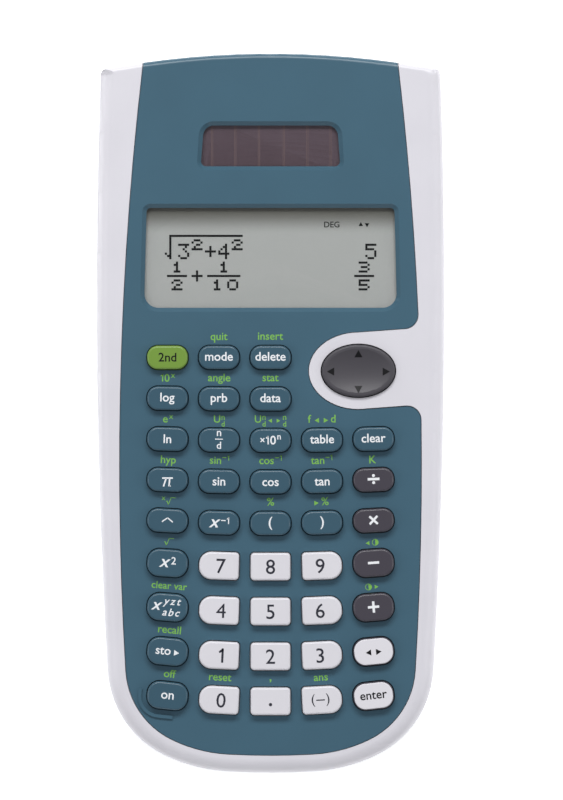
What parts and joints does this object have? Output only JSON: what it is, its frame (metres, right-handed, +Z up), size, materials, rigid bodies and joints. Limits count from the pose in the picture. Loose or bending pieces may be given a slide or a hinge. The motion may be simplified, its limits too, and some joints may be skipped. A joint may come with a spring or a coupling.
{
  "type": "scientific calculator",
  "caption": "Hand-held scientific calculator with a multi-line display, a solar cell, pressable keys and a rocking direction pad on a white and blue case.",
  "frame": {"origin": "middle of the outline on the surface under the rubber feet", "axes": "+X across the keys to the right, +Y from the keys to the display, +Z up out of the keys"},
  "size_m": [0.084, 0.1738, 0.0175],
  "materials": {
    "white_shell": "fine satin moulding",
    "blue_plate": "fine satin moulding, pearl blue",
    "rear_shell": "fine matt moulding",
    "white_key": "satin",
    "blue_key": "satin",
    "dark_key": "satin",
    "green_key": "satin",
    "dark_pad": "semi-gloss",
    "clear_window": "polished clear acrylic",
    "smoked_window": "polished smoked acrylic",
    "display_glass": "grey reflective display",
    "black_plastic": "matt",
    "contact_rubber": "striped conductive rubber",
    "board_laminate": "solder-masked laminate",
    "silicone": "matt silicone",
    "cell_steel": "fine brushed",
    "contact_steel": "plated spring steel",
    "resin": "glossy cured drop",
    "solar_silicon": "amorphous silicon on glass",
    "wire_sleeve": "smooth sleeve",
    "screw_steel": "zinc plated",
    "foot_rubber": "matt"
  },
  "bodies": {
    "case": {"front_frame": "white_shell", "faceplate": "blue_plate", "rear_cover": "rear_shell", "display_window": "clear_window", "solar_window": "smoked_window", "lcd_panel": "display_glass", "lcd_frame": "black_plastic", "lcd_connector": "contact_rubber", "circuit_board": "board_laminate", "key_mat": "silicone", "battery": "cell_steel", "battery_contacts": "contact_steel", "chip_blob": "resin", "solar_cell": "solar_silicon", "solar_leads": "wire_sleeve", "case_screws": "screw_steel", "rubber_feet": "foot_rubber"},
    "key_2nd": {"key_2nd": "green_key"},
    "key_mode": {"key_mode": "blue_key"},
    "key_delete": {"key_delete": "blue_key"},
    "key_log": {"key_log": "blue_key"},
    "key_prb": {"key_prb": "blue_key"},
    "key_data": {"key_data": "blue_key"},
    "key_ln": {"key_ln": "blue_key"},
    "key_fraction": {"key_fraction": "blue_key"},
    "key_exponent": {"key_exponent": "blue_key"},
    "key_table": {"key_table": "blue_key"},
    "key_clear": {"key_clear": "blue_key"},
    "key_pi": {"key_pi": "blue_key"},
    "key_sin": {"key_sin": "blue_key"},
    "key_cos": {"key_cos": "blue_key"},
    "key_tan": {"key_tan": "blue_key"},
    "key_divide": {"key_divide": "dark_key"},
    "key_power": {"key_power": "blue_key"},
    "key_inverse": {"key_inverse": "blue_key"},
    "key_open_paren": {"key_open_paren": "blue_key"},
    "key_close_paren": {"key_close_paren": "blue_key"},
    "key_multiply": {"key_multiply": "dark_key"},
    "key_square": {"key_square": "blue_key"},
    "key_7": {"key_7": "white_key"},
    "key_8": {"key_8": "white_key"},
    "key_9": {"key_9": "white_key"},
    "key_subtract": {"key_subtract": "dark_key"},
    "key_variable": {"key_variable": "blue_key"},
    "key_4": {"key_4": "white_key"},
    "key_5": {"key_5": "white_key"},
    "key_6": {"key_6": "white_key"},
    "key_add": {"key_add": "dark_key"},
    "key_store": {"key_store": "blue_key"},
    "key_1": {"key_1": "white_key"},
    "key_2": {"key_2": "white_key"},
    "key_3": {"key_3": "white_key"},
    "key_toggle": {"key_toggle": "white_key"},
    "key_on": {"key_on": "blue_key"},
    "key_0": {"key_0": "white_key"},
    "key_point": {"key_point": "white_key"},
    "key_negate": {"key_negate": "white_key"},
    "key_enter": {"key_enter": "white_key"},
    "nav_pivot": {"nav_pivot": "silicone"},
    "nav_pad": {"nav_pad": "dark_pad"}
  },
  "joints": [
    {"name": "key_2nd_press", "type": "slide", "parent": "case", "child": "key_2nd", "axis": [0, 0, -1], "range_m": [0, 0.0012], "stiffness_N_per_m": 500, "springref_m": -0.0004, "deforming": ["key_mat"]},
    {"name": "key_mode_press", "type": "slide", "parent": "case", "child": "key_mode", "axis": [0, 0, -1], "range_m": [0, 0.0012], "stiffness_N_per_m": 500, "springref_m": -0.0004, "deforming": ["key_mat"]},
    {"name": "key_delete_press", "type": "slide", "parent": "case", "child": "key_delete", "axis": [0, 0, -1], "range_m": [0, 0.0012], "stiffness_N_per_m": 500, "springref_m": -0.0004, "deforming": ["key_mat"]},
    {"name": "key_log_press", "type": "slide", "parent": "case", "child": "key_log", "axis": [0, 0, -1], "range_m": [0, 0.0012], "stiffness_N_per_m": 500, "springref_m": -0.0004, "deforming": ["key_mat"]},
    {"name": "key_prb_press", "type": "slide", "parent": "case", "child": "key_prb", "axis": [0, 0, -1], "range_m": [0, 0.0012], "stiffness_N_per_m": 500, "springref_m": -0.0004, "deforming": ["key_mat"]},
    {"name": "key_data_press", "type": "slide", "parent": "case", "child": "key_data", "axis": [0, 0, -1], "range_m": [0, 0.0012], "stiffness_N_per_m": 500, "springref_m": -0.0004, "deforming": ["key_mat"]},
    {"name": "key_ln_press", "type": "slide", "parent": "case", "child": "key_ln", "axis": [0, 0, -1], "range_m": [0, 0.0012], "stiffness_N_per_m": 500, "springref_m": -0.0004, "deforming": ["key_mat"]},
    {"name": "key_fraction_press", "type": "slide", "parent": "case", "child": "key_fraction", "axis": [0, 0, -1], "range_m": [0, 0.0012], "stiffness_N_per_m": 500, "springref_m": -0.0004, "deforming": ["key_mat"]},
    {"name": "key_exponent_press", "type": "slide", "parent": "case", "child": "key_exponent", "axis": [0, 0, -1], "range_m": [0, 0.0012], "stiffness_N_per_m": 500, "springref_m": -0.0004, "deforming": ["key_mat"]},
    {"name": "key_table_press", "type": "slide", "parent": "case", "child": "key_table", "axis": [0, 0, -1], "range_m": [0, 0.0012], "stiffness_N_per_m": 500, "springref_m": -0.0004, "deforming": ["key_mat"]},
    {"name": "key_clear_press", "type": "slide", "parent": "case", "child": "key_clear", "axis": [0, 0, -1], "range_m": [0, 0.0012], "stiffness_N_per_m": 500, "springref_m": -0.0004, "deforming": ["key_mat"]},
    {"name": "key_pi_press", "type": "slide", "parent": "case", "child": "key_pi", "axis": [0, 0, -1], "range_m": [0, 0.0012], "stiffness_N_per_m": 500, "springref_m": -0.0004, "deforming": ["key_mat"]},
    {"name": "key_sin_press", "type": "slide", "parent": "case", "child": "key_sin", "axis": [0, 0, -1], "range_m": [0, 0.0012], "stiffness_N_per_m": 500, "springref_m": -0.0004, "deforming": ["key_mat"]},
    {"name": "key_cos_press", "type": "slide", "parent": "case", "child": "key_cos", "axis": [0, 0, -1], "range_m": [0, 0.0012], "stiffness_N_per_m": 500, "springref_m": -0.0004, "deforming": ["key_mat"]},
    {"name": "key_tan_press", "type": "slide", "parent": "case", "child": "key_tan", "axis": [0, 0, -1], "range_m": [0, 0.0012], "stiffness_N_per_m": 500, "springref_m": -0.0004, "deforming": ["key_mat"]},
    {"name": "key_divide_press", "type": "slide", "parent": "case", "child": "key_divide", "axis": [0, 0, -1], "range_m": [0, 0.0012], "stiffness_N_per_m": 500, "springref_m": -0.0004, "deforming": ["key_mat"]},
    {"name": "key_power_press", "type": "slide", "parent": "case", "child": "key_power", "axis": [0, 0, -1], "range_m": [0, 0.0012], "stiffness_N_per_m": 500, "springref_m": -0.0004, "deforming": ["key_mat"]},
    {"name": "key_inverse_press", "type": "slide", "parent": "case", "child": "key_inverse", "axis": [0, 0, -1], "range_m": [0, 0.0012], "stiffness_N_per_m": 500, "springref_m": -0.0004, "deforming": ["key_mat"]},
    {"name": "key_open_paren_press", "type": "slide", "parent": "case", "child": "key_open_paren", "axis": [0, 0, -1], "range_m": [0, 0.0012], "stiffness_N_per_m": 500, "springref_m": -0.0004, "deforming": ["key_mat"]},
    {"name": "key_close_paren_press", "type": "slide", "parent": "case", "child": "key_close_paren", "axis": [0, 0, -1], "range_m": [0, 0.0012], "stiffness_N_per_m": 500, "springref_m": -0.0004, "deforming": ["key_mat"]},
    {"name": "key_multiply_press", "type": "slide", "parent": "case", "child": "key_multiply", "axis": [0, 0, -1], "range_m": [0, 0.0012], "stiffness_N_per_m": 500, "springref_m": -0.0004, "deforming": ["key_mat"]},
    {"name": "key_square_press", "type": "slide", "parent": "case", "child": "key_square", "axis": [0, 0, -1], "range_m": [0, 0.0012], "stiffness_N_per_m": 500, "springref_m": -0.0004, "deforming": ["key_mat"]},
    {"name": "key_7_press", "type": "slide", "parent": "case", "child": "key_7", "axis": [0, 0, -1], "range_m": [0, 0.0012], "stiffness_N_per_m": 500, "springref_m": -0.0004, "deforming": ["key_mat"]},
    {"name": "key_8_press", "type": "slide", "parent": "case", "child": "key_8", "axis": [0, 0, -1], "range_m": [0, 0.0012], "stiffness_N_per_m": 500, "springref_m": -0.0004, "deforming": ["key_mat"]},
    {"name": "key_9_press", "type": "slide", "parent": "case", "child": "key_9", "axis": [0, 0, -1], "range_m": [0, 0.0012], "stiffness_N_per_m": 500, "springref_m": -0.0004, "deforming": ["key_mat"]},
    {"name": "key_subtract_press", "type": "slide", "parent": "case", "child": "key_subtract", "axis": [0, 0, -1], "range_m": [0, 0.0012], "stiffness_N_per_m": 500, "springref_m": -0.0004, "deforming": ["key_mat"]},
    {"name": "key_variable_press", "type": "slide", "parent": "case", "child": "key_variable", "axis": [0, 0, -1], "range_m": [0, 0.0012], "stiffness_N_per_m": 500, "springref_m": -0.0004, "deforming": ["key_mat"]},
    {"name": "key_4_press", "type": "slide", "parent": "case", "child": "key_4", "axis": [0, 0, -1], "range_m": [0, 0.0012], "stiffness_N_per_m": 500, "springref_m": -0.0004, "deforming": ["key_mat"]},
    {"name": "key_5_press", "type": "slide", "parent": "case", "child": "key_5", "axis": [0, 0, -1], "range_m": [0, 0.0012], "stiffness_N_per_m": 500, "springref_m": -0.0004, "deforming": ["key_mat"]},
    {"name": "key_6_press", "type": "slide", "parent": "case", "child": "key_6", "axis": [0, 0, -1], "range_m": [0, 0.0012], "stiffness_N_per_m": 500, "springref_m": -0.0004, "deforming": ["key_mat"]},
    {"name": "key_add_press", "type": "slide", "parent": "case", "child": "key_add", "axis": [0, 0, -1], "range_m": [0, 0.0012], "stiffness_N_per_m": 500, "springref_m": -0.0004, "deforming": ["key_mat"]},
    {"name": "key_store_press", "type": "slide", "parent": "case", "child": "key_store", "axis": [0, 0, -1], "range_m": [0, 0.0012], "stiffness_N_per_m": 500, "springref_m": -0.0004, "deforming": ["key_mat"]},
    {"name": "key_1_press", "type": "slide", "parent": "case", "child": "key_1", "axis": [0, 0, -1], "range_m": [0, 0.0012], "stiffness_N_per_m": 500, "springref_m": -0.0004, "deforming": ["key_mat"]},
    {"name": "key_2_press", "type": "slide", "parent": "case", "child": "key_2", "axis": [0, 0, -1], "range_m": [0, 0.0012], "stiffness_N_per_m": 500, "springref_m": -0.0004, "deforming": ["key_mat"]},
    {"name": "key_3_press", "type": "slide", "parent": "case", "child": "key_3", "axis": [0, 0, -1], "range_m": [0, 0.0012], "stiffness_N_per_m": 500, "springref_m": -0.0004, "deforming": ["key_mat"]},
    {"name": "key_toggle_press", "type": "slide", "parent": "case", "child": "key_toggle", "axis": [0, 0, -1], "range_m": [0, 0.0012], "stiffness_N_per_m": 500, "springref_m": -0.0004, "deforming": ["key_mat"]},
    {"name": "key_on_press", "type": "slide", "parent": "case", "child": "key_on", "axis": [0, 0, -1], "range_m": [0, 0.0012], "stiffness_N_per_m": 500, "springref_m": -0.0004, "deforming": ["key_mat"]},
    {"name": "key_0_press", "type": "slide", "parent": "case", "child": "key_0", "axis": [0, 0, -1], "range_m": [0, 0.0012], "stiffness_N_per_m": 500, "springref_m": -0.0004, "deforming": ["key_mat"]},
    {"name": "key_point_press", "type": "slide", "parent": "case", "child": "key_point", "axis": [0, 0, -1], "range_m": [0, 0.0012], "stiffness_N_per_m": 500, "springref_m": -0.0004, "deforming": ["key_mat"]},
    {"name": "key_negate_press", "type": "slide", "parent": "case", "child": "key_negate", "axis": [0, 0, -1], "range_m": [0, 0.0012], "stiffness_N_per_m": 500, "springref_m": -0.0004, "deforming": ["key_mat"]},
    {"name": "key_enter_press", "type": "slide", "parent": "case", "child": "key_enter", "axis": [0, 0, -1], "range_m": [0, 0.0012], "stiffness_N_per_m": 500, "springref_m": -0.0004, "deforming": ["key_mat"]},
    {"name": "pad_tilt_up_down", "type": "hinge", "parent": "case", "child": "nav_pivot", "pos_m": [0.0212, 0.01025, 0.0146], "axis": [1, 0, 0], "range_deg": [-4, 4], "stiffness_Nm_per_rad": 0.1, "deforming": ["key_mat"]},
    {"name": "pad_tilt_left_right", "type": "hinge", "parent": "nav_pivot", "child": "nav_pad", "pos_m": [0.0212, 0.01025, 0.0146], "axis": [0, 1, 0], "range_deg": [-4, 4], "stiffness_Nm_per_rad": 0.1, "deforming": ["key_mat"]}
  ]
}
